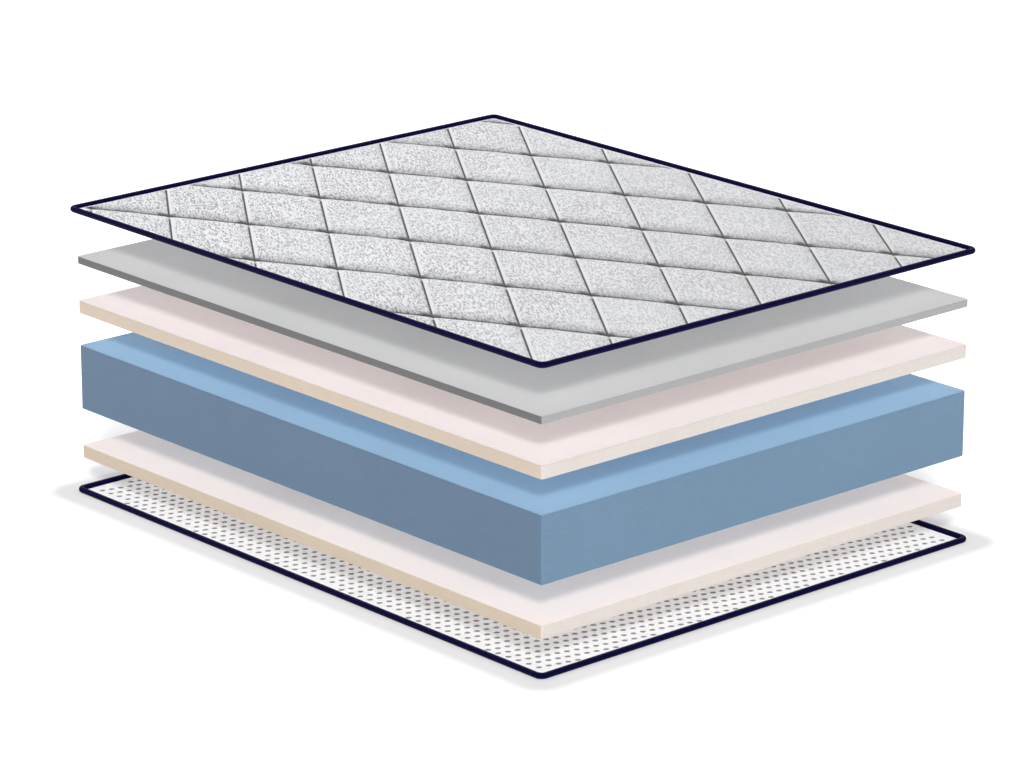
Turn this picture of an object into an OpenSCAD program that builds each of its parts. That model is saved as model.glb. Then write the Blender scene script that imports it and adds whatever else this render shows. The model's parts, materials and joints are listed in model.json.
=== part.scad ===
// Memory foam mattress, lying flat with its layers lifted apart.
// X runs along the bed, Y across it and +Z is up. The origin is at the middle of the underside.
// Every layer slides straight down onto the one below it to close the mattress.

/* [Foam layers] */
// Length of every foam layer, along X
foam_l = 1990; // [1800:10:2100]
// Width of every foam layer, along Y
foam_w = 1590; // [700:10:1900]
// Thickness of the lower comfort foam
lower_foam_t = 40; // [20:1:60]
// Thickness of the firm core foam
core_foam_t = 194; // [100:1:220]
// Thickness of the upper comfort foam
upper_foam_t = 40; // [20:1:60]
// Thickness of the grey memory foam sheet
memory_foam_t = 24; // [10:1:50]
// Radius of each foam layer's upright corners
foam_corner_r = 8; // [2:1:20]

/* [Lifted gaps] */
// Clear height between the bottom cover and the lower comfort foam
gap_lower_foam = 100; // [1:1:200]
// Clear height between the lower comfort foam and the core
gap_core = 109; // [1:1:200]
// Clear height between the core and the upper comfort foam
gap_upper_foam = 94; // [1:1:200]
// Clear height between the upper comfort foam and the memory foam sheet
gap_memory_foam = 108; // [1:1:200]
// Clear height between the memory foam sheet and the top cover
gap_top_cover = 131; // [1:1:200]

/* [Piping] */
// Diameter of the finished piping
piping_d = 17; // [12:0.5:20]
// Wall of the tape wrapped round the piping cord
tape_t = 1.5; // [1:0.1:2]
// Thickness of the tape's flange, two layers sewn flat
flange_t = 1.2; // [0.8:0.1:1.6]
// Width of the flange, inward from the piping's centre line
flange_w = 24; // [18:1:30]
// How far the top cover's flange lies below the middle of its piping
top_flange_drop = 3; // [0:0.5:4]
// Clearance of the cord in its tape and of the foam inside the piping
piping_gap = 0.5; // [0.2:0.1:1]

/* [Bottom cover] */
// Thickness of the grey ground cloth that lies on the bed base
ground_t = 1.2; // [0.8:0.1:2]
// Thickness of the white mesh fabric on top of it
mesh_t = 3; // [2:0.1:4]

/* [Quilted top cover] */
// Height of the backing's underside above the underside of the piping
backing_z = 1; // [0.5:0.1:2]
// Thickness of the non-woven backing
backing_t = 1.2; // [0.8:0.1:1.6]
// Thickness of the fibre wadding
wadding_t = 11.3; // [10:0.1:11.5]
// Thickness of the knitted face fabric
face_t = 2; // [1:0.1:2]

/* [Diamond quilting] */
// Lengthwise run of one diamond side, on the rising stitch lines
rise_run_x = 215; // [150:5:260]
// Crosswise run of the same side
rise_run_y = 115; // [80:5:160]
// Lengthwise run of one diamond side, on the falling stitch lines
fall_run_x = 300; // [200:5:360]
// Crosswise run of the same side
fall_run_y = 215; // [150:5:260]
// Lengthwise place of one crossing of the stitch lines
crossing_x = 21; // [-100:1:100]
// Crosswise place of the same crossing
crossing_y = 147; // [-150:1:150]
// Thickness of the sewing threads
thread_t = 0.8; // [0.4:0.1:1]

/* [Hidden] */

// Insets are measured inward from the piping's centre line.
piping_r = piping_d / 2;
path_l = foam_l + 2 * (piping_gap + piping_r);
path_w = foam_w + 2 * (piping_gap + piping_r);
corner_r = foam_corner_r + piping_gap + piping_r;
least_corner_r = 3;
seam_inset = 16;
sewn_edge_inset = piping_r + 0.4;
low_flange_inset = piping_r * 0.54;
top_flange_inset = sqrt(pow(piping_r - tape_t / 2, 2) - pow(top_flange_drop, 2));
channel_inset = flange_w + 4;
arc_fn = 96;
section_fn = 48;

// Levels, upward from the underside.
bottom_flange_z = ground_t;
bottom_top_z = ground_t + mesh_t;
lower_foam_z = bottom_top_z + gap_lower_foam;
core_z = lower_foam_z + lower_foam_t + gap_core;
upper_foam_z = core_z + core_foam_t + gap_upper_foam;
memory_foam_z = upper_foam_z + upper_foam_t + gap_memory_foam;
top_cover_z = memory_foam_z + memory_foam_t + gap_top_cover;
top_flange_z = top_cover_z + piping_r - top_flange_drop - flange_t / 2;
face_z = top_cover_z + backing_z + backing_t + wadding_t;

navy = [0.02, 0.01, 0.2];
seam_thread = [0.9, 0.9, 0.91];
filler_white = [0.95, 0.95, 0.96];
cream_foam = [0.94, 0.88, 0.84];

// A flat outline with round corners, centred on the origin.
module rounded_outline(l, w, r) {
    square([l - 2 * r, w], center = true);
    square([l, w - 2 * r], center = true);
    for (x = [-1, 1], y = [-1, 1])
        translate([x * (l / 2 - r), y * (w / 2 - r)]) circle(r = r, $fn = arc_fn);
}

// A layer of cloth or fibre that ends a given inset inside the piping's centre line.
module layer(inset, z, t) {
    translate([0, 0, z]) linear_extrude(t)
        rounded_outline(path_l - 2 * inset, path_w - 2 * inset, max(corner_r - inset, least_corner_r));
}

// The band between two insets, from the outer to the inner one.
module band(outer_inset, inner_inset, z, t) {
    difference() {
        layer(outer_inset, z, t);
        layer(inner_inset, z - 1, t + 2);
    }
}

// Sweeps a section round the piping's path: X is outward from the centre line and Y is up.
module round_the_bed(z) {
    straight_l = path_l - 2 * corner_r;
    straight_w = path_w - 2 * corner_r;
    translate([0, 0, z]) {
        for (side = [0, 180]) rotate(side) {
            translate([-straight_l / 2, path_w / 2, 0])
                rotate([90, 0, 90]) linear_extrude(straight_l) children();
            translate([-path_l / 2, -straight_w / 2, 0])
                rotate([90, 0, 180]) linear_extrude(straight_w) children();
        }
        for (x = [0, 1], y = [0, 1]) mirror([x, 0, 0]) mirror([0, y, 0])
            translate([straight_l / 2, straight_w / 2, 0])
                rotate_extrude(angle = 90, $fn = arc_fn) translate([corner_r, 0]) children();
    }
}

// The cord inside the piping.
module piping_cord(z) {
    round_the_bed(z)
        translate([0, piping_r]) circle(r = piping_r - tape_t - piping_gap / 2, $fn = section_fn);
}

// The tape: a tube round the cord, with a flange sewn into the cover that starts inside the tube's wall.
module piping_tape(z, flange_z, flange_inset) {
    round_the_bed(z) translate([0, piping_r]) difference() {
        circle(r = piping_r, $fn = section_fn);
        circle(r = piping_r - tape_t, $fn = section_fn);
    }
    band(flange_inset, flange_w, flange_z, flange_t);
}

// The seam that holds the tape's flange, lying on the cover's upper side.
module piping_seam(z) {
    band(seam_inset, seam_inset + thread_t, z, thread_t);
}

// Parallel threads along one direction of the quilting, a step apart.
module stitch_lines(run, step, z) {
    reach = path_l + path_w;
    turn = atan2(run[1], run[0]);
    count = ceil(reach / norm(step));
    for (i = [-count : count])
        translate([crossing_x + i * step[0], crossing_y + i * step[1], z])
            rotate(turn) translate([-reach / 2, -thread_t / 2, 0]) cube([reach, thread_t, thread_t]);
}

module foam_block(z, t) {
    translate([0, 0, z]) linear_extrude(t) rounded_outline(foam_l, foam_w, foam_corner_r);
}

module bottom_ground_cloth() {
    color("gray") layer(5, 0, ground_t);
}

// The mesh steps up over the flange, so its upper side stays flat.
module bottom_mesh_fabric() {
    color("white") {
        layer(flange_w + 0.3, bottom_flange_z, flange_t);
        layer(sewn_edge_inset, bottom_flange_z + flange_t, mesh_t - flange_t);
    }
}

module bottom_piping_cord() {
    color(filler_white) piping_cord(0);
}

module bottom_piping_tape() {
    color(navy) piping_tape(0, bottom_flange_z, low_flange_inset);
}

module bottom_piping_stitching() {
    color(seam_thread) piping_seam(bottom_top_z);
}

module lower_comfort_foam() {
    color(cream_foam) foam_block(lower_foam_z, lower_foam_t);
}

module core_foam() {
    color([0.51, 0.66, 0.79]) foam_block(core_z, core_foam_t);
}

module upper_comfort_foam() {
    color(cream_foam) foam_block(upper_foam_z, upper_foam_t);
}

module memory_foam_sheet() {
    color([0.8, 0.8, 0.8]) foam_block(memory_foam_z, memory_foam_t);
}

// A shallow pan whose rim comes up under the flange.
module quilt_backing() {
    floor_z = top_cover_z + backing_z;
    color("whitesmoke") {
        layer(channel_inset, floor_z, backing_t);
        band(channel_inset - backing_t, channel_inset, floor_z, top_flange_z - floor_z);
        band(sewn_edge_inset, channel_inset, top_flange_z - backing_t, backing_t);
    }
}

module quilt_wadding() {
    color("ivory") layer(channel_inset + backing_t, top_cover_z + backing_z + backing_t, wadding_t);
}

// A shallow lid whose rim comes down onto the flange.
module quilt_face() {
    rim_z = top_flange_z + flange_t;
    color([0.85, 0.86, 0.88]) {
        layer(channel_inset, face_z, face_t);
        band(channel_inset - face_t, channel_inset, rim_z, face_z + face_t - rim_z);
        band(sewn_edge_inset, channel_inset, rim_z, face_t);
    }
}

module quilt_stitching() {
    thread_z = face_z + face_t;
    color([0.62, 0.64, 0.68]) intersection() {
        layer(channel_inset + 12, thread_z, thread_t);
        union() {
            stitch_lines([rise_run_x, rise_run_y], [fall_run_x, -fall_run_y], thread_z);
            stitch_lines([fall_run_x, -fall_run_y], [rise_run_x, rise_run_y], thread_z);
        }
    }
}

module top_piping_cord() {
    color(filler_white) piping_cord(top_cover_z);
}

module top_piping_tape() {
    color(navy) piping_tape(top_cover_z, top_flange_z, top_flange_inset);
}

module top_piping_stitching() {
    color(seam_thread) piping_seam(top_flange_z + flange_t + face_t);
}

bottom_ground_cloth();
bottom_mesh_fabric();
bottom_piping_cord();
bottom_piping_tape();
bottom_piping_stitching();
lower_comfort_foam();
core_foam();
upper_comfort_foam();
memory_foam_sheet();
quilt_backing();
quilt_wadding();
quilt_face();
quilt_stitching();
top_piping_cord();
top_piping_tape();
top_piping_stitching();
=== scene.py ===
"""The looks of a memory foam mattress with its layers lifted apart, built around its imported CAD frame.

Everything is in metres, in the CAD's own frame: X along the bed, Y across it, Z up from the underside.
Places come from the CAD nodes' boxes. Insets are measured inward from the piping's centre line.
"""

import json
import math

import bmesh
import bpy
import numpy as np
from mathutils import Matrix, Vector


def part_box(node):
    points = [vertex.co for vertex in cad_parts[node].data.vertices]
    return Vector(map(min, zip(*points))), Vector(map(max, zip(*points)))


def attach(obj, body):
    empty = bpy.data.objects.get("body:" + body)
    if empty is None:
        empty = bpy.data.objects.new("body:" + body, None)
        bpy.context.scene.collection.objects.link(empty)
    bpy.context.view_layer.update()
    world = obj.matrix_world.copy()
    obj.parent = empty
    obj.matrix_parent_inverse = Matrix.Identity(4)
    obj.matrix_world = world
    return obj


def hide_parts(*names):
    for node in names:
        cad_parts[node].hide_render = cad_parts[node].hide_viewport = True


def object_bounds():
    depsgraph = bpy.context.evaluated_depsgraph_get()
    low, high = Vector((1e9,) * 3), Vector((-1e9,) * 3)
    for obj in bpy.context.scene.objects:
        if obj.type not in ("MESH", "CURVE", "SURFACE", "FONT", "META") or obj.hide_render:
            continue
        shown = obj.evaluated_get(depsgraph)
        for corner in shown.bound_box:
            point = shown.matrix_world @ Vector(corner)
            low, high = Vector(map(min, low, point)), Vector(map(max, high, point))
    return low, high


MM = 0.001

# Sizes that the CAD source also states, in metres.
CENTRE_LINE = np.array([1004, 804]) * MM
CORNER_R = 17 * MM
PIPING_R = 8.5 * MM
CORD_R = 6.7 * MM
TAPE_T = 1.4 * MM
FLANGE_T = 1.2 * MM
SEAM_INSET = 16.4 * MM
SEWN_EDGE_INSET = 8.9 * MM
FOAM_CORNER_R = 8 * MM
RISE_RUN = np.array([215, 115]) * MM
FALL_RUN = np.array([300, -215]) * MM
CROSSING = np.array([21, 147]) * MM

QUILT_STITCH_PITCH = 8 * MM
ROW_CROWDING = 0.75

SEED = 7

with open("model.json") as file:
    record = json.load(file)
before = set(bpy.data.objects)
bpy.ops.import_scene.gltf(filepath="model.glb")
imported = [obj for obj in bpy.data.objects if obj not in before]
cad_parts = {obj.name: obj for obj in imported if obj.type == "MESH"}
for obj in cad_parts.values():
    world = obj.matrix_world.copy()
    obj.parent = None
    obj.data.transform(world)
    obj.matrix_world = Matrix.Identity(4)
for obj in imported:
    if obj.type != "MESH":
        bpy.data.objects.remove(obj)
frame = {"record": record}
cad_low, cad_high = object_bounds()
BODY_OF = {n: b for b, nodes in frame["record"]["behaviour"]["bodies"].items() for n in nodes}


# Shader nodes


def srgb(red, green, blue):
    """A colour as a screen shows it, 0 to 255, turned into the linear colour that shaders use."""
    screen = np.array([red, green, blue]) / 255
    linear = np.where(screen <= 0.04045, screen / 12.92, ((screen + 0.055) / 1.055) ** 2.4)
    return (*(float(x) for x in linear), 1.0)


class Surface:
    """A material under construction: a Principled shader and the nodes that feed it."""

    def __init__(self, name, roughness=0.9, **constants):
        self.material = bpy.data.materials.new(name)
        self.material.use_nodes = True
        self.tree = self.material.node_tree
        self.shader = self.tree.nodes["Principled BSDF"]
        self.shader.inputs["Roughness"].default_value = roughness
        for socket, value in constants.items():
            self.shader.inputs[socket.replace("_", " ")].default_value = value
        self.place = self.node("ShaderNodeTexCoord").outputs["Object"]

    def node(self, kind, inputs=None, **settings):
        """Adds a node. Each input is a number, a colour or another node's output."""
        made = self.tree.nodes.new(kind)
        for key, value in settings.items():
            setattr(made, key, value)
        for key, value in (inputs or {}).items():
            if isinstance(value, bpy.types.NodeSocket):
                self.tree.links.new(value, made.inputs[key])
            else:
                made.inputs[key].default_value = value
        return made

    def noise(self, size, detail=2.0, roughness=0.5, vector=None):
        """Smooth noise from 0 to 1 whose features are about that size, in metres."""
        inputs = {"Vector": vector or self.place, "Scale": 1 / size, "Detail": detail, "Roughness": roughness}
        return self.node("ShaderNodeTexNoise", inputs).outputs["Fac"]

    def cells(self, size, feature="F1", vector=None):
        """Distance to the nearest of scattered points about that far apart."""
        inputs = {"Vector": vector or self.place, "Scale": 1 / size}
        return self.node("ShaderNodeTexVoronoi", inputs, feature=feature).outputs["Distance"]

    def stretched(self, along, across, up=1.0, turn=0.0):
        """The place, turned about Z and then scaled along each axis."""
        turned = self.node("ShaderNodeMapping", {"Vector": self.place, "Rotation": (0, 0, turn)})
        scaled = {"Vector": turned.outputs[0], "Scale": (along, across, up)}
        return self.node("ShaderNodeMapping", scaled).outputs[0]

    def math(self, operation, a, b=0.0, c=0.0):
        return self.node("ShaderNodeMath", {0: a, 1: b, 2: c}, operation=operation).outputs[0]

    def remap(self, value, low, high, to_low=0.0, to_high=1.0):
        """Takes low..high smoothly to to_low..to_high."""
        inputs = {"Value": value, "From Min": low, "From Max": high, "To Min": to_low, "To Max": to_high}
        made = self.node("ShaderNodeMapRange", inputs, interpolation_type="SMOOTHSTEP")
        return made.outputs["Result"]

    def mix(self, share, a, b, blend="MIX"):
        made = self.node("ShaderNodeMix", data_type="RGBA", blend_type=blend)
        for key, value in {0: share, 6: a, 7: b}.items():
            if isinstance(value, bpy.types.NodeSocket):
                self.tree.links.new(value, made.inputs[key])
            else:
                made.inputs[key].default_value = value
        return made.outputs[2]

    def shade(self, colour, amount):
        """Multiplies a colour by a grey amount."""
        grey = self.node("ShaderNodeCombineColor", {"Red": amount, "Green": amount, "Blue": amount})
        return self.mix(1.0, colour, grey.outputs[0], "MULTIPLY")

    def steps(self, value, *stops):
        """A grey amount up to 1 that follows stops of (value, amount), straight from each to the next."""
        low, high = stops[0][0], stops[-1][0]
        inputs = {"Value": value, "From Min": low, "From Max": high}
        share = self.node("ShaderNodeMapRange", inputs).outputs["Result"]
        ramp = self.node("ShaderNodeValToRGB", {"Fac": share})
        elements = ramp.color_ramp.elements
        while len(elements) < len(stops):
            elements.new(0.5)
        for element, (at, _) in zip(elements, stops):
            element.position = (at - low) / (high - low)
        for element, (_, amount) in zip(elements, stops):
            element.color = (amount, amount, amount, 1)
        return ramp.outputs["Color"]

    def colour(self, value):
        self.tree.links.new(value, self.shader.inputs["Base Color"])

    def roughness(self, value):
        self.tree.links.new(value, self.shader.inputs["Roughness"])

    def relief(self, *layers):
        """Bumps, each a height from 0 to 1 and what that height is worth in metres."""
        normal = None
        for height, depth in layers:
            inputs = {"Height": height, "Distance": depth, "Strength": 1.0}
            if normal is not None:
                inputs["Normal"] = normal
            normal = self.node("ShaderNodeBump", inputs).outputs["Normal"]
        self.tree.links.new(normal, self.shader.inputs["Normal"])


def foam_material(name, top, side, end, cell):
    """Open-cell foam of that cell size, with faint knife-cut streaks on its sides. Its long sides and ends
    have their own hue and are also painted darker than its faces as shade, the long sides most.
    """
    s = Surface(name, 0.95, Sheen_Weight=0.15, Sheen_Roughness=0.6, Specular_IOR_Level=0.2)
    normal = s.node("ShaderNodeNewGeometry").outputs["Normal"]
    facing = s.node("ShaderNodeSeparateXYZ", {0: normal}).outputs
    flat = s.remap(s.math("ABSOLUTE", facing[2]), 0.35, 0.9)
    lengthwise = s.remap(s.math("ABSOLUTE", facing[0]), 0.35, 0.9)
    # Painted shade: the long sides get the darkest tint, the ends a lighter one, the faces the top colour.
    base = s.mix(flat, s.mix(lengthwise, side, end), top)
    cloudy = s.remap(s.noise(0.35, 3), 0.3, 0.7, 0.975, 1.02)
    pores = s.cells(cell)
    speckle = s.remap(pores, 0.1, 0.75, 0.93, 1.03)
    streaks = s.noise(0.004, 2, vector=s.stretched(0.08, 0.08, 1.0))
    cut = s.math("MULTIPLY_ADD", s.math("SUBTRACT", streaks, 0.5), s.math("SUBTRACT", 1.0, flat), 1.0)
    faint_cut = s.remap(cut, 0.7, 1.3, 0.97, 1.03)
    s.colour(s.shade(s.shade(base, s.math("MULTIPLY", cloudy, speckle)), faint_cut))
    s.relief((s.noise(0.03, 3), 0.0006), (pores, cell * 0.16), (s.noise(cell * 0.35, 2), cell * 0.06))
    return s.material


def tape_material():
    """Navy woven tape: a fine diagonal twill with a slight sheen."""
    s = Surface("navy_tape", 0.8, Sheen_Weight=0.02, Sheen_Roughness=0.5, Specular_IOR_Level=0.06)
    slant = s.stretched(1.0, 1.0, 1.2, math.radians(38))
    wave = {"Vector": slant, "Scale": 180.0, "Distortion": 0.6, "Detail": 1.0}
    twill = s.node("ShaderNodeTexWave", wave, bands_direction="DIAGONAL").outputs["Fac"]
    fuzz = s.noise(0.0012, 2)
    patchy = s.noise(0.12, 3)
    tint = s.mix(s.remap(twill, 0.2, 0.8, 0.0, 1.0), srgb(0, 0, 36), srgb(2, 0, 62))
    s.colour(s.shade(tint, s.remap(s.math("ADD", fuzz, patchy), 0.6, 1.4, 0.8, 1.15)))
    s.roughness(s.remap(twill, 0.0, 1.0, 0.66, 0.82))
    s.relief((twill, 0.00025), (fuzz, 0.00015))
    return s.material


def thread_material(name, light, dark):
    """Spun sewing thread with a fine twist."""
    s = Surface(name, 0.6, Sheen_Weight=0.3, Specular_IOR_Level=0.3)
    wave = {"Vector": s.place, "Scale": 900.0, "Distortion": 1.0}
    twist = s.node("ShaderNodeTexWave", wave, bands_direction="DIAGONAL").outputs["Fac"]
    s.colour(s.shade(s.mix(twist, dark, light), s.remap(s.noise(0.02), 0.3, 0.7, 0.9, 1.05)))
    s.relief((twist, 0.00012))
    return s.material


def knit_material():
    """Jacquard knit: pale raised threads over a darker ground, with painted shade along the stitch lines and
    at their crossings, and painted highlight strips beside them.

    The flecks fade and the cloth is painted darker toward the +X +Y corner, as shade. A strip along the edge
    is plain."""
    s = Surface("jacquard_knit", 0.85, Sheen_Weight=0.12, Sheen_Roughness=0.5, Specular_IOR_Level=0.2)
    where = s.node("ShaderNodeSeparateXYZ", {0: s.place}).outputs
    insets = [s.math("SUBTRACT", float(CENTRE_LINE[k]), s.math("ABSOLUTE", where[k])) for k in (0, 1)]
    edge = s.remap(s.math("MINIMUM", *insets), 17 * MM, 20 * MM, 1.0, 0.0)

    def past_line(along, other):
        """Millimetres past the nearest stitch line that runs along one vector, with the next another away.

        Positive is to the left of the direction along."""
        normal = np.array([-along[1], along[0]]) / np.linalg.norm(along)
        gap = float(normal @ other)
        x = s.math("MULTIPLY_ADD", where[0], float(normal[0] / gap), float(-normal @ CROSSING / gap + 0.5))
        lines = s.math("MULTIPLY_ADD", where[1], float(normal[1] / gap), x)
        return s.math("MULTIPLY", s.math("SUBTRACT", s.math("FRACT", lines), 0.5), gap / MM)

    across, up = past_line(FALL_RUN, RISE_RUN), past_line(RISE_RUN, FALL_RUN)
    # Painted shade along the stitch lines: a dark core on each steep line with a slightly darker band to one
    # side, and a dark core on each gentle line with a shaded band to one side.
    steep_line_shade = s.steps(
        across, (-50, 1.0), (-10, 0.92), (-3.5, 0.7), (-2.2, 0.04), (2, 0.04), (3, 1.0), (20, 1.0)
    )
    gentle_line_shade = s.steps(
        up, (-45, 1.0), (-20, 1.0), (-4, 1.0), (-2.5, 0.2), (4, 0.2), (8, 0.58), (20, 0.78), (60, 1.0)
    )
    # The steep lines' painted shade breaks off just past each crossing.
    steep_shade_break = s.steps(up, (-26, 0.0), (-18, 0.75), (-5, 0.75), (0, 0.0))
    steep_line_shade = s.mix(steep_shade_break, steep_line_shade, (0.97, 0.97, 0.97, 1))
    # Painted shade: a dark patch beside each crossing.
    crossing_shade = s.math(
        "MULTIPLY",
        s.steps(across, (-38, 0.0), (-24, 1.0), (8, 1.0), (24, 0.0)),
        s.steps(up, (-8, 0.0), (-3, 1.0), (13, 1.0), (27, 0.0)),
    )
    painted_crease_shade = s.shade(s.mix(1.0, steep_line_shade, gentle_line_shade, "MULTIPLY"), s.math("MULTIPLY_ADD", crossing_shade, -0.75, 1.0))
    drawn = s.stretched(0.26, 1.0, 1.0, math.radians(27))
    fleck = s.remap(s.noise(0.0045, 1.5, 0.55, vector=drawn), 0.36, 0.54)
    toward_corner = s.math("MULTIPLY_ADD", where[0], 0.66, s.math("MULTIPLY", where[1], 0.75))
    patchy = s.math("MULTIPLY_ADD", s.noise(0.5, 1), 1.6, toward_corner)
    fleck = s.math("MAXIMUM", fleck, s.remap(patchy, -0.3, 1.5, 0.0, 0.5))
    # Painted highlight: plain light strips beside each steep line and each gentle line, where the flecks are
    # left out.
    painted_highlight = s.math(
        "MAXIMUM",
        s.steps(across, (2, 0.0), (3, 1.0), (9, 1.0), (14, 0.0)),
        s.steps(up, (-22, 0.0), (-12, 0.7), (-4, 0.7), (-3, 0.0)),
    )
    fleck = s.math("MAXIMUM", fleck, painted_highlight)
    wave = {"Vector": s.place, "Scale": 230.0, "Distortion": 0.4}
    rows = s.node("ShaderNodeTexWave", wave).outputs["Fac"]
    loops = s.node("ShaderNodeTexWave", wave, bands_direction="Y").outputs["Fac"]
    knit = s.math("MULTIPLY", rows, loops)
    ground = s.mix(s.remap(s.noise(0.45, 1), 0.45, 0.65), srgb(174, 175, 183), srgb(180, 188, 194))
    cloth = s.mix(fleck, ground, srgb(253, 253, 255))
    cloudy = s.remap(s.noise(0.2, 3), 0.3, 0.7, 0.97, 1.02)
    shade = s.math("MULTIPLY", cloudy, s.remap(knit, 0, 1, 0.95, 1.03))
    # Painted shade: the cloth is darker toward the +X +Y corner.
    shade = s.math("MULTIPLY", shade, s.remap(toward_corner, -0.8, 1.1, 0.98, 0.8))
    cloth = s.shade(s.mix(1.0, cloth, painted_crease_shade, "MULTIPLY"), shade)
    s.colour(s.mix(edge, cloth, srgb(236, 236, 240)))
    s.roughness(s.remap(fleck, 0.0, 1.0, 0.9, 0.78))
    s.relief((fleck, 0.0012), (knit, 0.0003))
    return s.material


def woven_material(name, light, dark, size, depth=0.0002):
    """A plain cloth with warp and weft of that size."""
    s = Surface(name, 0.92, Sheen_Weight=0.15, Specular_IOR_Level=0.2)
    warp, weft = (
        s.node(
            "ShaderNodeTexWave",
            {"Vector": s.place, "Scale": 0.3 / size, "Distortion": 0.5},
            bands_direction=axis,
        ).outputs["Fac"]
        for axis in "XY"
    )
    weave = s.math("MAXIMUM", warp, weft)
    slub = s.noise(0.012, 3)
    s.colour(s.shade(s.mix(weave, dark, light), s.remap(slub, 0.3, 0.7, 0.94, 1.03)))
    s.relief((weave, depth), (slub, depth))
    return s.material


def fibre_material(name, light, dark):
    """Loose or bonded fibre: fine strands lying every way."""
    s = Surface(name, 0.97, Sheen_Weight=0.25, Specular_IOR_Level=0.15)
    one = s.noise(0.0015, 3, 0.7, vector=s.stretched(0.12, 1.0, 1.0, 0.5))
    other = s.noise(0.0015, 3, 0.7, vector=s.stretched(1.0, 0.12, 1.0, 0.3))
    strands = s.math("MAXIMUM", one, other)
    clump = s.noise(0.03, 3)
    s.colour(s.shade(s.mix(s.remap(strands, 0.4, 0.7), dark, light), s.remap(clump, 0.3, 0.7, 0.95, 1.03)))
    s.relief((clump, 0.0006), (strands, 0.0003))
    return s.material


def floor_material():
    """A pale floor with a painted shadow, a soft darker strip right round the bottom cover, and painted
    light, a glow far from it that lifts the key light's shadow there.
    """
    s = Surface("pale_floor", 0.9, Specular_IOR_Level=0.1)
    away = s.node("ShaderNodeVectorMath", {0: s.place}, operation="ABSOLUTE").outputs[0]
    core = (*(float(size) for size in CENTRE_LINE), 0.0)
    past = s.node("ShaderNodeVectorMath", {0: away, 1: core}, operation="SUBTRACT").outputs[0]
    past = s.node("ShaderNodeVectorMath", {0: past, 1: (0, 0, 0)}, operation="MAXIMUM").outputs[0]
    gap = s.node("ShaderNodeVectorMath", {0: past}, operation="LENGTH").outputs["Value"]
    plain = s.mix(s.noise(0.6, 3), srgb(253, 253, 253), srgb(255, 255, 255))
    # Painted shadow: grey within about 5 to 10 cm of the cover.
    s.colour(s.mix(s.remap(gap, 0.05, 0.1, 0.36, 0.0), plain, srgb(140, 140, 141)))
    # Painted light: the floor glows, more the farther it lies from the cover.
    s.shader.inputs["Emission Color"].default_value = (1, 1, 1, 1)
    s.tree.links.new(s.remap(gap, 0.1, 0.7, 0.0, 0.36), s.shader.inputs["Emission Strength"])
    return s.material


# Meshes


def new_object(name, points, faces, material):
    mesh = bpy.data.meshes.new(name)
    mesh.from_pydata([tuple(p) for p in points], [], faces)
    mesh.update()
    mesh.shade_smooth()
    mesh.materials.append(material)
    made = bpy.data.objects.new(f"{name}_look", mesh)
    bpy.context.scene.collection.objects.link(made)
    return made


def stand_for(piece, *nodes):
    """The piece takes the place and body of these CAD nodes, which are hidden."""
    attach(piece, BODY_OF[nodes[0]])
    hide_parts(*nodes)
    return piece


def rounded_outline(half, radius, counts, arc_steps=6):
    """Points round a rectangle with round corners, anticlockwise, and the outward direction at each.

    counts are the steps along X and along Y, so that outlines of other sizes match point for point."""
    points, outward = [], []
    signs = [(1, 1), (-1, 1), (-1, -1), (1, -1)]
    core = np.asarray(half) - radius
    for quarter in range(4):
        for k in range(arc_steps + 1):
            angle = math.pi / 2 * (quarter + k / arc_steps)
            direction = np.array([math.cos(angle), math.sin(angle)])
            points.append(core * signs[quarter] + radius * direction)
            outward.append(direction)
        start, end = points[-1], core * signs[(quarter + 1) % 4] + radius * direction
        count = counts[quarter % 2]
        for k in range(1, count):
            points.append(start + (end - start) * k / count)
            outward.append(direction)
    return np.array(points), np.array(outward)


def steps_along(half, step):
    return [max(2, round(2 * size / step)) for size in half]


def band_faces(rings, count, closed=True):
    """Quads that join consecutive rings of the same number of points."""
    faces = []
    for r in range(rings if closed else rings - 1):
        for k in range(count):
            a, b = r * count, (r + 1) % rings * count
            faces.append((a + k, a + (k + 1) % count, b + (k + 1) % count, b + k))
    return faces


def slow_wave(x, y, z, lengths, seed):
    """A smooth random height between about -1 and 1 that repeats over none of the lengths given."""
    rng = np.random.default_rng(seed)
    total = 0.0
    for length in lengths:
        heading = rng.uniform(0, 2 * math.pi)
        lean = rng.uniform(-0.6, 0.6)
        along = math.cos(heading) * x + math.sin(heading) * y + lean * z
        total = total + np.sin(2 * math.pi * along / length + rng.uniform(0, 6.28))
    return total / len(lengths)


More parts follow.
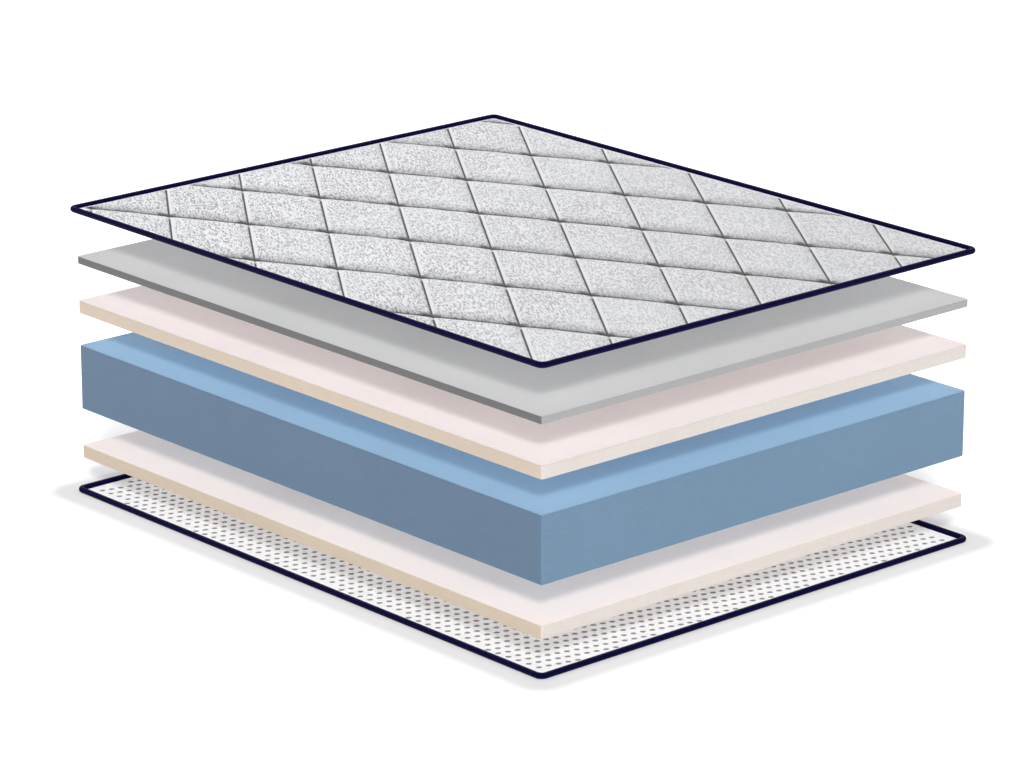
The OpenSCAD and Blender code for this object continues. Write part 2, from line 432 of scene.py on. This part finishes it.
def foam_slab(node, edge_r, material, seed, waver=0.5 * MM, crown=0.6 * MM):
    """Foam cut to the CAD block's size: soft edges, sides that waver a little, faces that sink at the rim."""
    low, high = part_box(node)
    half = np.array([high.x, high.y])
    counts = steps_along(half, 20 * MM)
    levels = 2 + max(2, round((high.z - low.z) / (18 * MM)))
    profile = [(60 * MM, low.z), (25 * MM, low.z + crown * 0.3), (edge_r * 1.6, low.z + crown * 0.8)]
    for k in range(7):
        turn = math.pi / 2 * k / 6
        profile.append((edge_r * (1 - math.sin(turn)), low.z + crown + edge_r * (1 - math.cos(turn))))
    mirrored = [(inset, low.z + high.z - z) for inset, z in reversed(profile)]
    side_low, side_high = low.z + crown + edge_r, high.z - crown - edge_r
    profile += [(0.0, side_low + (side_high - side_low) * k / levels) for k in range(1, levels)] + mirrored
    rings = []
    for inset, z in profile:
        ring, outward = rounded_outline(half - inset, max(FOAM_CORNER_R - inset, 2 * MM), counts)
        height = slow_wave(ring[:, 0], ring[:, 1], z, (0.31, 0.47, 0.83), seed)
        inward = waver * (0.5 + 0.5 * height) * (1 if inset < edge_r else 0)
        rings.append(np.column_stack([ring - outward * inward[:, None], np.full(len(ring), z)]))
    count = len(rings[0])
    faces = [tuple(reversed(range(count)))]
    faces += band_faces(len(rings), count, closed=False)
    faces.append(tuple(range((len(rings) - 1) * count, len(rings) * count)))
    slab = new_object(node, np.concatenate(rings), faces, material)
    stand_for(slab, node)
    return slab


def piping(edge, flange_low, cord_material, tape_material):
    """One cover's piping: a twisted cord, and a tape wrapped round it whose two layers meet as a flange."""
    low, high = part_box(f"{edge}_piping_tape")
    middle = (low.z + high.z) / 2
    counts = steps_along(CENTRE_LINE, 7 * MM)
    line, outward = rounded_outline(CENTRE_LINE, CORNER_R, counts, 10)
    gaps = np.linalg.norm(np.diff(line, axis=0, append=line[:1]), axis=1)
    along = np.concatenate([[0], np.cumsum(gaps)[:-1]])
    length = gaps.sum()
    turns = round(length / (48 * MM))

    def ring(u, z):
        """An outline that far outward of the centre line and that high over the cord's middle."""
        flat = line + outward * np.maximum(u, -CORNER_R + 1 * MM)[:, None]
        beyond = np.minimum(u + CORNER_R - 1 * MM, 0)
        corner = np.abs(np.abs(outward[:, 0]) - np.abs(outward[:, 1])) < 0.999
        side = np.where(corner[:, None], np.sign(np.round(outward, 6)), outward)
        return np.column_stack([flat + side * beyond[:, None], middle + z])

    def tube(angles, radius):
        return [ring(radius(t) * math.cos(t), radius(t) * math.sin(t)) for t in angles]

    def strand(t):
        return CORD_R - 0.9 * MM * (1 - np.abs(np.cos(1.5 * (t - 2 * math.pi * turns * along / length))))

    around = [2 * math.pi * k / 18 for k in range(18)]
    cord_rings = tube(around, strand)
    cord = new_object(
        f"{edge}_piping_cord", np.concatenate(cord_rings), band_faces(18, len(line)), cord_material
    )
    stand_for(cord, f"{edge}_piping_cord")

    pulls = round(length / (26 * MM))
    wander = 1.7 * np.sin(9 * math.pi * along / length)
    pucker = 0.5 + 0.5 * np.sin(2 * math.pi * pulls * along / length + wander)

    def wrapped(t):
        near_flange = max(0.0, -math.cos(t)) ** 2
        return PIPING_R - (0.04 + 0.28 * near_flange) * MM * pucker

    under, over = flange_low - middle, flange_low + FLANGE_T - middle
    start, end = math.pi - math.asin(under / PIPING_R), 3 * math.pi - math.asin(over / PIPING_R)
    outer = tube(np.linspace(start, end, 24), wrapped)
    ripple = 0.1 * MM * (pucker - 0.5)
    for inset, z in ((16, over), (24, over), (24, under), (16, under)):
        outer.append(ring(np.full(len(line), -inset * MM), z + ripple))
    inner = tube(around[::-1], lambda t: np.full(len(line), PIPING_R - TAPE_T))
    faces = band_faces(len(outer), len(line))
    shift = len(outer) * len(line)
    faces += [tuple(v + shift for v in face) for face in band_faces(len(inner), len(line))]
    tape = new_object(f"{edge}_piping_tape", np.concatenate(outer + inner), faces, tape_material)
    stand_for(tape, f"{edge}_piping_tape")


def stitches(node, centres, headings, length, radius, material, lift=0.25):
    """Sewn stitches: short arched threads whose ends dip into the cloth. centres lie on the cloth."""
    sides = 6
    sections = [(-0.5, 0.35), (-0.42, 0.85), (-0.2, 1.0), (0.2, 1.0), (0.42, 0.85), (0.5, 0.35)]
    template = []
    for place, share in sections:
        rise = radius * (lift + 0.9 * (1 - (2 * place) ** 2) - 0.9)
        for k in range(sides):
            turn = 2 * math.pi * k / sides
            side, height = radius * share * math.cos(turn), radius * share * math.sin(turn)
            template.append((place * length, side, rise + height))
    template = np.array(template)
    faces = [tuple(range(sides))]
    for r in range(len(sections) - 1):
        for k in range(sides):
            a, b = r * sides, (r + 1) * sides
            faces.append((a + k, b + k, b + (k + 1) % sides, a + (k + 1) % sides))
    faces.append(tuple(reversed(range(len(template) - sides, len(template)))))
    centres, headings = np.asarray(centres), np.asarray(headings)
    across = np.column_stack([-headings[:, 1], headings[:, 0], np.zeros(len(headings))])
    across /= np.linalg.norm(across, axis=1)[:, None]
    upward = np.cross(headings, across)
    points = centres[:, None, :] + sum(
        template[None, :, k, None] * axis[:, None, :] for k, axis in enumerate((headings, across, upward))
    )
    size = len(template)
    every = [tuple(v + n * size for v in face) for n in range(len(centres)) for face in faces]
    return stand_for(new_object(node, points.reshape(-1, 3), every, material), node)


def seam(edge, z, material):
    """The straight seam that holds the piping's flange, round all four sides."""
    half = CENTRE_LINE - SEAM_INSET
    corners = [(1, 1), (-1, 1), (-1, -1), (1, -1)]
    centres, headings = [], []
    for k, corner in enumerate(corners):
        start, end = half * corner, half * corners[(k + 1) % 4]
        count = round(np.linalg.norm(end - start) / (7 * MM))
        heading = (end - start) / np.linalg.norm(end - start)
        for n in range(count):
            centres.append((*(start + (end - start) * (n + 0.5) / count), z))
            headings.append((*heading, 0))
    return stitches(f"{edge}_piping_stitching", centres, headings, 4.8 * MM, 0.5 * MM, material)


def cut_to_outline(points, faces, inset, extra=()):
    """Keeps what lies within the outline that far inside the piping's centre line, corners cut round.

    extra are insets where the cloth only gets a new row of points. Returns points and faces."""
    half = CENTRE_LINE - inset
    points = np.array(points)
    for axis in (0, 1):
        for edge in (half[axis], *(CENTRE_LINE[axis] - e for e in extra)):
            near = np.abs(np.abs(points[:, axis]) - edge) < 1.6 * MM
            points[near, axis] = np.sign(points[near, axis]) * edge
    mesh = bmesh.new()
    made = [mesh.verts.new((x, y, 0)) for x, y in points]
    for face in faces:
        mesh.faces.new([made[v] for v in face])
    bmesh.ops.delete(mesh, geom=[v for v in mesh.verts if not v.link_faces], context="VERTS")

    def cut(place, direction, clear=True):
        everything = mesh.verts[:] + mesh.edges[:] + mesh.faces[:]
        bmesh.ops.bisect_plane(
            mesh, geom=everything, dist=1e-6, plane_co=place, plane_no=direction, clear_outer=clear
        )

    for x, y in ((1, 0), (-1, 0), (0, 1), (0, -1)):
        cut((x * half[0], y * half[1], 0), (x, y, 0))
        for e in extra:
            cut((x * (CENTRE_LINE[0] - e), y * (CENTRE_LINE[1] - e), 0), (x, y, 0), clear=False)
    radius = max(CORNER_R - inset, 2 * MM)
    for x in (1, -1):
        for y in (1, -1):
            centre = (half - radius) * (x, y)
            for angle in (22.5, 45, 67.5):
                heading = np.array([x * math.cos(math.radians(angle)), y * math.sin(math.radians(angle))])
                cut((*(centre + radius * heading), 0), (*heading, 0))
    bmesh.ops.delete(mesh, geom=[v for v in mesh.verts if not v.link_faces], context="VERTS")
    mesh.verts.index_update()
    points = np.array([v.co[:2] for v in mesh.verts])
    faces = [tuple(v.index for v in face.verts) for face in mesh.faces]
    mesh.free()
    return points, faces


def solidify(piece, thickness, offset):
    made = piece.modifiers.new("thickness", "SOLIDIFY")
    made.thickness, made.offset = thickness, offset
    return piece


def edge_inset(x, y):
    """How far inside the piping's centre line a place is."""
    return np.minimum(CENTRE_LINE[0] - np.abs(x), CENTRE_LINE[1] - np.abs(y))


def smoothstep(low, high, value):
    t = np.clip((value - low) / (high - low), 0, 1)
    return t * t * (3 - 2 * t)


# The bottom cover


def ground_cloth(material):
    """The thin grey cloth right underneath, seen through the open mesh."""
    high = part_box("bottom_ground_cloth")[1]
    half = np.array([high.x, high.y])
    xs, ys = (np.linspace(-size - 30 * MM, size + 30 * MM, steps_along([size], 28 * MM)[0]) for size in half)
    points = [(x, y) for y in ys for x in xs]
    width = len(xs)
    faces = [
        (a, a + 1, a + 1 + width, a + width)
        for row in range(len(ys) - 1)
        for a in range(row * width, row * width + width - 1)
    ]
    points, faces = cut_to_outline(points, faces, CENTRE_LINE[0] - high.x)
    wave = slow_wave(points[:, 0], points[:, 1], 0, (0.17, 0.29, 0.43), SEED + 10)
    z = high.z - 0.12 * MM + 0.08 * MM * wave
    cloth = new_object("bottom_ground_cloth", np.column_stack([points, z]), faces, material)
    solidify(stand_for(cloth, "bottom_ground_cloth"), 0.9 * MM, -1)


def open_mesh(material):
    """The white open mesh: oval holes in a skewed grid, each with the cloth's thickness, and a plain edge."""
    across, up = np.array([36.6, 3.2]) * MM, np.array([7, 28]) * MM
    long, short = np.array([1.4, 8.9]) * MM, np.array([-7.9, 1.2]) * MM
    reach = CENTRE_LINE + 30 * MM
    grid = np.linalg.inv(np.column_stack([across, up]))
    ends = np.array([grid @ (reach * (sx, sy)) for sx in (1, -1) for sy in (1, -1)])
    (i_low, j_low), (i_high, j_high) = np.floor(ends.min(0)).astype(int), np.ceil(ends.max(0)).astype(int)
    rim = [(0, 0), (1, 0), (2, 0), (3, 0), (3, 1), (3, 2), (3, 3), (2, 3), (1, 3), (0, 3), (0, 2), (0, 1)]
    points, faces, known, holes = [], [], {}, []

    def corner(i, j):
        """The point that many thirds of a cell along each way."""
        if (i, j) not in known:
            known[i, j] = len(points)
            points.append(across * i / 3 + up * j / 3)
        return known[i, j]

    for i in range(i_low, i_high):
        for j in range(j_low, j_high):
            centre = across * (i + 0.5) + up * (j + 0.5)
            if (np.abs(centre) > reach).any():
                continue
            if edge_inset(*centre) < 34 * MM:
                for p in range(3):
                    for q in range(3):
                        loop = ((p, q), (p + 1, q), (p + 1, q + 1), (p, q + 1))
                        faces.append(tuple(corner(3 * i + a, 3 * j + b) for a, b in loop))
                continue
            first = len(points)
            for k in range(12):
                turn = math.radians(-137 + 30 * k) - math.radians(81)
                points.append(centre + long * math.cos(turn) + short * math.sin(turn))
            outer = [corner(3 * i + p, 3 * j + q) for p, q in rim]
            for k in range(12):
                n = (k + 1) % 12
                faces.append((outer[k], outer[n], first + n, first + k))
            holes.append(centre)
    points, faces = cut_to_outline(points, faces, SEWN_EDGE_INSET)
    x, y = points.T
    sag = smoothstep(24 * MM, 60 * MM, edge_inset(x, y)) * 0.9 * MM
    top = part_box("bottom_mesh_fabric")[1].z
    z = top - 0.2 * MM - sag + 0.12 * MM * slow_wave(x, y, 0, (0.19, 0.27, 0.55), SEED + 11)
    cloth = new_object("bottom_mesh_fabric", np.column_stack([points, z]), faces, material)
    mesh = bmesh.new()
    mesh.from_mesh(cloth.data)
    inside = [e for e in mesh.edges if e.is_boundary and edge_inset(*e.verts[0].co[:2]) > 12 * MM]
    walls = bmesh.ops.extrude_edge_only(mesh, edges=inside)["geom"]
    for v in walls:
        if isinstance(v, bmesh.types.BMVert):
            v.co.z -= 1.2 * MM
    bmesh.ops.recalc_face_normals(mesh, faces=mesh.faces)
    mesh.to_mesh(cloth.data)
    mesh.free()
    cloth.data.shade_flat()
    stand_for(cloth, "bottom_mesh_fabric")


# The quilted top cover


def quilt_coordinates(x, y):
    """Crossings along the rising and the falling stitch lines from CROSSING to a place."""
    inverse = np.linalg.inv(np.column_stack([RISE_RUN, FALL_RUN]))
    dx, dy = x - CROSSING[0], y - CROSSING[1]
    return inverse[0, 0] * dx + inverse[0, 1] * dy, inverse[1, 0] * dx + inverse[1, 1] * dy


def quilt_puff(x, y):
    """0 on a stitch line and near 1 in the middle of a panel: a sharp groove, then a slow swell."""
    rise, fall = quilt_coordinates(x, y)
    cell = abs(RISE_RUN[0] * FALL_RUN[1] - RISE_RUN[1] * FALL_RUN[0])
    from_falling = np.abs(rise - np.round(rise)) * cell / np.linalg.norm(FALL_RUN)
    from_rising = np.abs(fall - np.round(fall)) * cell / np.linalg.norm(RISE_RUN)

    def side(gap, sharp):
        return 1 - 0.62 * np.exp(-gap / sharp) - 0.38 * np.exp(-gap / (40 * MM))

    return side(from_falling, 6 * MM) * side(from_rising, 7 * MM)


def face_height(x, y):
    """The quilted face: pillows between the grooves, coming down to a flat strip over the flange."""
    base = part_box("top_piping_tape")[0].z
    pillow = base + (5.0 + 10.2 * quilt_puff(x, y)) * MM
    inset = edge_inset(x, y)
    sewn = base + (6.4 + 1.6 * smoothstep(8.9, 11.5, inset / MM)) * MM
    rise = smoothstep(21 * MM, 36 * MM, inset)
    return sewn + (pillow - sewn) * rise


def backing_height(x, y):
    """The backing's upper side: it sags a little between the stitch lines and rises under the flange."""
    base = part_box("top_piping_tape")[0].z
    sag = base + (2.6 - 1.2 * quilt_puff(x, y)) * MM
    return sag + (base + 4.6 * MM - sag) * (1 - smoothstep(23 * MM, 36 * MM, edge_inset(x, y)))


def quilt_grid(per_rise, per_fall, inset, extra=()):
    """A sheet whose rows follow the stitch lines: so many cells between crossings, smaller at the lines."""
    ends = np.array([quilt_coordinates(*(CENTRE_LINE * (sx, sy))) for sx in (1, -1) for sy in (1, -1)])
    rises = np.arange(math.floor(ends[:, 0].min() * per_rise) - 1, math.ceil(ends[:, 0].max() * per_rise) + 2)
    falls = np.arange(math.floor(ends[:, 1].min() * per_fall) - 1, math.ceil(ends[:, 1].max() * per_fall) + 2)
    crowded = (
        u - ROW_CROWDING * np.sin(2 * math.pi * u) / (2 * math.pi)
        for u in (rises / per_rise, falls / per_fall)
    )
    i, j = np.meshgrid(*crowded)
    points = CROSSING + i.reshape(-1, 1) * RISE_RUN + j.reshape(-1, 1) * FALL_RUN
    inside = (np.abs(points) < CENTRE_LINE + 5 * MM).all(axis=1)
    width = len(rises)
    faces = []
    for row in range(len(falls) - 1):
        for a in range(row * width, row * width + width - 1):
            loop = (a, a + width, a + width + 1, a + 1)
            if inside[list(loop)].any():
                faces.append(loop)
    return cut_to_outline(points, faces, inset, extra)


def settle(piece, pinned, frames, cap):
    """Lets the cloth puff and pucker between its stitch lines: it is cut a little too large and blown up.

    cap is how far each point may move."""
    mesh = piece.data
    before = np.empty(len(mesh.vertices) * 3, np.float32)
    mesh.vertices.foreach_get("co", before)
    piece.vertex_groups.new(name="sewn").add([int(v) for v in np.flatnonzero(pinned)], 1.0, "REPLACE")
    cloth = piece.modifiers.new("cloth", "CLOTH")
    cloth.settings.quality = 4
    cloth.settings.mass = 0.3
    cloth.settings.tension_stiffness = cloth.settings.compression_stiffness = 15
    cloth.settings.shear_stiffness = 5
    cloth.settings.bending_stiffness = 0.05
    cloth.settings.vertex_group_mass = "sewn"
    cloth.settings.use_pressure = True
    cloth.settings.uniform_pressure_force = 0.6
    cloth.settings.shrink_min = -0.012
    cloth.settings.effector_weights.gravity = 0
    cloth.collision_settings.use_collision = False
    cloth.point_cache.frame_start, cloth.point_cache.frame_end = 1, frames
    scene = bpy.context.scene
    for number in range(1, frames + 1):
        scene.frame_set(number)
    ready = piece.evaluated_get(bpy.context.evaluated_depsgraph_get()).data
    after = np.empty_like(before)
    ready.vertices.foreach_get("co", after)
    piece.modifiers.remove(cloth)
    scene.frame_set(1)
    before, move = before.reshape(-1, 3), (after - before).reshape(-1, 3)
    size = np.linalg.norm(move, axis=1)
    move *= np.minimum(1, cap / np.maximum(size, 1e-9))[:, None]
    mesh.vertices.foreach_set("co", (before + move).ravel())
    mesh.update()


def quilt_face(material):
    points, faces = quilt_grid(20, 30, SEWN_EDGE_INSET, extra=(11 * MM,))
    x, y = points.T
    rng = np.random.default_rng(SEED + 20)
    free = smoothstep(26 * MM, 50 * MM, edge_inset(x, y)) * quilt_puff(x, y)
    rise, fall = quilt_coordinates(x, y)
    on_line = (np.abs(rise - np.round(rise)) < 0.004) | (np.abs(fall - np.round(fall)) < 0.004)
    lost_to_smoothing = 0.75 * MM * on_line * smoothstep(21 * MM, 36 * MM, edge_inset(x, y))
    z = face_height(x, y) + free * rng.normal(0, 0.12 * MM, len(x)) - lost_to_smoothing
    cloth = new_object("quilt_face", np.column_stack([points, z]), faces, material)
    settle(cloth, on_line | (edge_inset(x, y) < 24 * MM), 14, 3 * MM * quilt_puff(x, y) ** 2)
    finer = cloth.modifiers.new("finer", "SUBSURF")
    finer.levels = finer.render_levels = 1
    stand_for(cloth, "quilt_face")


def quilt_backing(material):
    points, faces = quilt_grid(8, 12, SEWN_EDGE_INSET)
    cloth = new_object("quilt_backing", np.column_stack([points, backing_height(*points.T)]), faces, material)
    solidify(stand_for(cloth, "quilt_backing"), 0.6 * MM, -1)


def quilt_wadding(material):
    """The filling between face and backing, pinched almost flat along every stitch line."""
    points, faces = quilt_grid(8, 12, 29.2 * MM)
    count = len(points)
    top = face_height(*points.T) - 1.3 * MM
    under = np.minimum(backing_height(*points.T) + 0.3 * MM, top - 0.4 * MM)
    sides = {}
    for face in faces:
        for a, b in zip(face, face[1:] + face[:1]):
            sides[a, b] = (b, a) not in sides
            if not sides[a, b]:
                sides[b, a] = False
    walls = [(b, a, a + count, b + count) for (a, b), alone in sides.items() if alone]
    closed = faces + [tuple(v + count for v in reversed(face)) for face in faces] + walls
    both = np.concatenate([np.column_stack([points, top]), np.column_stack([points, under])])
    wadding = new_object("quilt_wadding", both, closed, material)
    stand_for(wadding, "quilt_wadding")


def quilt_lines():
    """Where each stitch of the quilting lies, on the face, and which way it runs."""
    centres, headings = [], []
    reach = CENTRE_LINE - 26 * MM
    for run, other in ((RISE_RUN, FALL_RUN), (FALL_RUN, RISE_RUN)):
        length = np.linalg.norm(run)
        heading = run / length
        per_run = round(length / QUILT_STITCH_PITCH)
        for line in range(-12, 13):
            for n in range(-12 * per_run, 12 * per_run):
                place = CROSSING + other * line + run * (n + 0.5) / per_run
                if (np.abs(place) < reach).all():
                    centres.append(place)
                    headings.append(heading)
    centres, headings = np.array(centres), np.array(headings)
    ahead, behind = centres + headings * 2 * MM, centres - headings * 2 * MM
    slope = (face_height(*ahead.T) - face_height(*behind.T)) / (4 * MM)
    headings = np.column_stack([headings, slope])
    headings /= np.linalg.norm(headings, axis=1)[:, None]
    return np.column_stack([centres, face_height(*centres.T)]), headings


# The scene


def set_camera():
    """A long lens over the near corner, a little above the layers."""
    azimuth, elevation = math.radians(48.4), math.radians(17.6)
    right = Vector((math.cos(azimuth), math.sin(azimuth), 0))
    ahead = math.cos(elevation)
    forward = Vector((-math.sin(azimuth) * ahead, math.cos(azimuth) * ahead, -math.sin(elevation)))
    up = right.cross(forward)
    data = bpy.data.cameras.new("camera")
    data.lens, data.sensor_width = 158.2, 36
    camera = bpy.data.objects.new("camera", data)
    bpy.context.scene.collection.objects.link(camera)
    camera.location = -0.01 * right + 0.378 * up - 12.88 * forward
    camera.rotation_mode = "QUATERNION"
    camera.rotation_quaternion = forward.to_track_quat("-Z", "Y")
    bpy.context.scene.camera = camera


def sun(name, azimuth, elevation, strength, width, casts=True):
    """A distant light. Azimuth 0 shines from -Y and 90 from +X. Its width is in degrees."""
    data = bpy.data.lights.new(name, "SUN")
    data.energy, data.angle, data.use_shadow = strength, math.radians(width), casts
    made = bpy.data.objects.new(name, data)
    turn, height = math.radians(azimuth), math.radians(elevation)
    away = (math.sin(turn) * math.cos(height), -math.cos(turn) * math.cos(height), math.sin(height))
    made.rotation_mode = "QUATERNION"
    made.rotation_quaternion = Vector(away).to_track_quat("Z", "Y")
    bpy.context.scene.collection.objects.link(made)


def set_studio():
    """White surroundings, a low soft key on the camera's side, and a shadowless fill from behind."""
    world = bpy.data.worlds.new("studio")
    world.use_nodes = True
    world.node_tree.nodes["Background"].inputs["Color"].default_value = (1, 1, 1, 1)
    world.node_tree.nodes["Background"].inputs["Strength"].default_value = 0.32
    bpy.context.scene.world = world
    bpy.context.scene.view_settings.view_transform = "Standard"
    sun("key", 50, 33, 1.9, 9)
    sun("fill", -135, 38, 2.05, 20, casts=False)
    edge = 60
    floor = new_object(
        "floor",
        [(-edge, -edge, 0), (edge, -edge, 0), (edge, edge, 0), (-edge, edge, 0)],
        [(0, 1, 2, 3)],
        floor_material(),
    )
    floor.location.z = cad_low.z - 0.2 * MM


set_camera()
set_studio()

# Each foam's colours: its faces, then its long sides and its ends, both painted darker as shade.
cream = foam_material("cream_foam", srgb(230, 220, 219), srgb(205, 189, 172), srgb(213, 205, 199), 2.2 * MM)
warm_cream = foam_material(
    "warm_cream_foam", srgb(246, 229, 220), srgb(208, 191, 171), srgb(220, 211, 204), 2.2 * MM
)
blue = foam_material("blue_foam", srgb(130, 167, 197), srgb(94, 118, 142), srgb(105, 134, 159), 2.8 * MM)
grey = foam_material("grey_foam", srgb(190, 190, 190), srgb(106, 106, 106), srgb(162, 162, 162), 1.6 * MM)
foam_slab("lower_comfort_foam", 3 * MM, warm_cream, SEED)
foam_slab("core_foam", 4 * MM, blue, SEED + 1)
foam_slab("upper_comfort_foam", 3 * MM, cream, SEED + 2)
foam_slab("memory_foam_sheet", 3 * MM, grey, SEED + 3)

navy = tape_material()
cotton = fibre_material("cotton_cord", srgb(232, 228, 220), srgb(196, 190, 180))
white_thread = thread_material("white_thread", srgb(238, 238, 240), srgb(200, 200, 206))
piping("bottom", 1.2 * MM, cotton, navy)
piping("top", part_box("quilt_backing")[1].z, cotton, navy)
seam("bottom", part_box("bottom_mesh_fabric")[1].z - 0.15 * MM, white_thread)
seam("top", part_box("top_piping_tape")[0].z + 8.0 * MM, white_thread)

ground_cloth(woven_material("grey_ground_cloth", srgb(136, 137, 141), srgb(104, 105, 110), 1.2 * MM))
open_mesh(woven_material("white_open_mesh", srgb(240, 243, 245), srgb(218, 222, 225), 0.9 * MM))

quilt_backing(fibre_material("white_backing", srgb(230, 231, 233), srgb(196, 198, 202)))
quilt_wadding(fibre_material("polyester_wadding", srgb(236, 236, 236), srgb(206, 206, 208)))
quilt_face(knit_material())
grey_thread = thread_material("grey_thread", srgb(150, 152, 160), srgb(100, 102, 112))
stitches("quilt_stitching", *quilt_lines(), 5.4 * MM, 0.55 * MM, grey_thread)
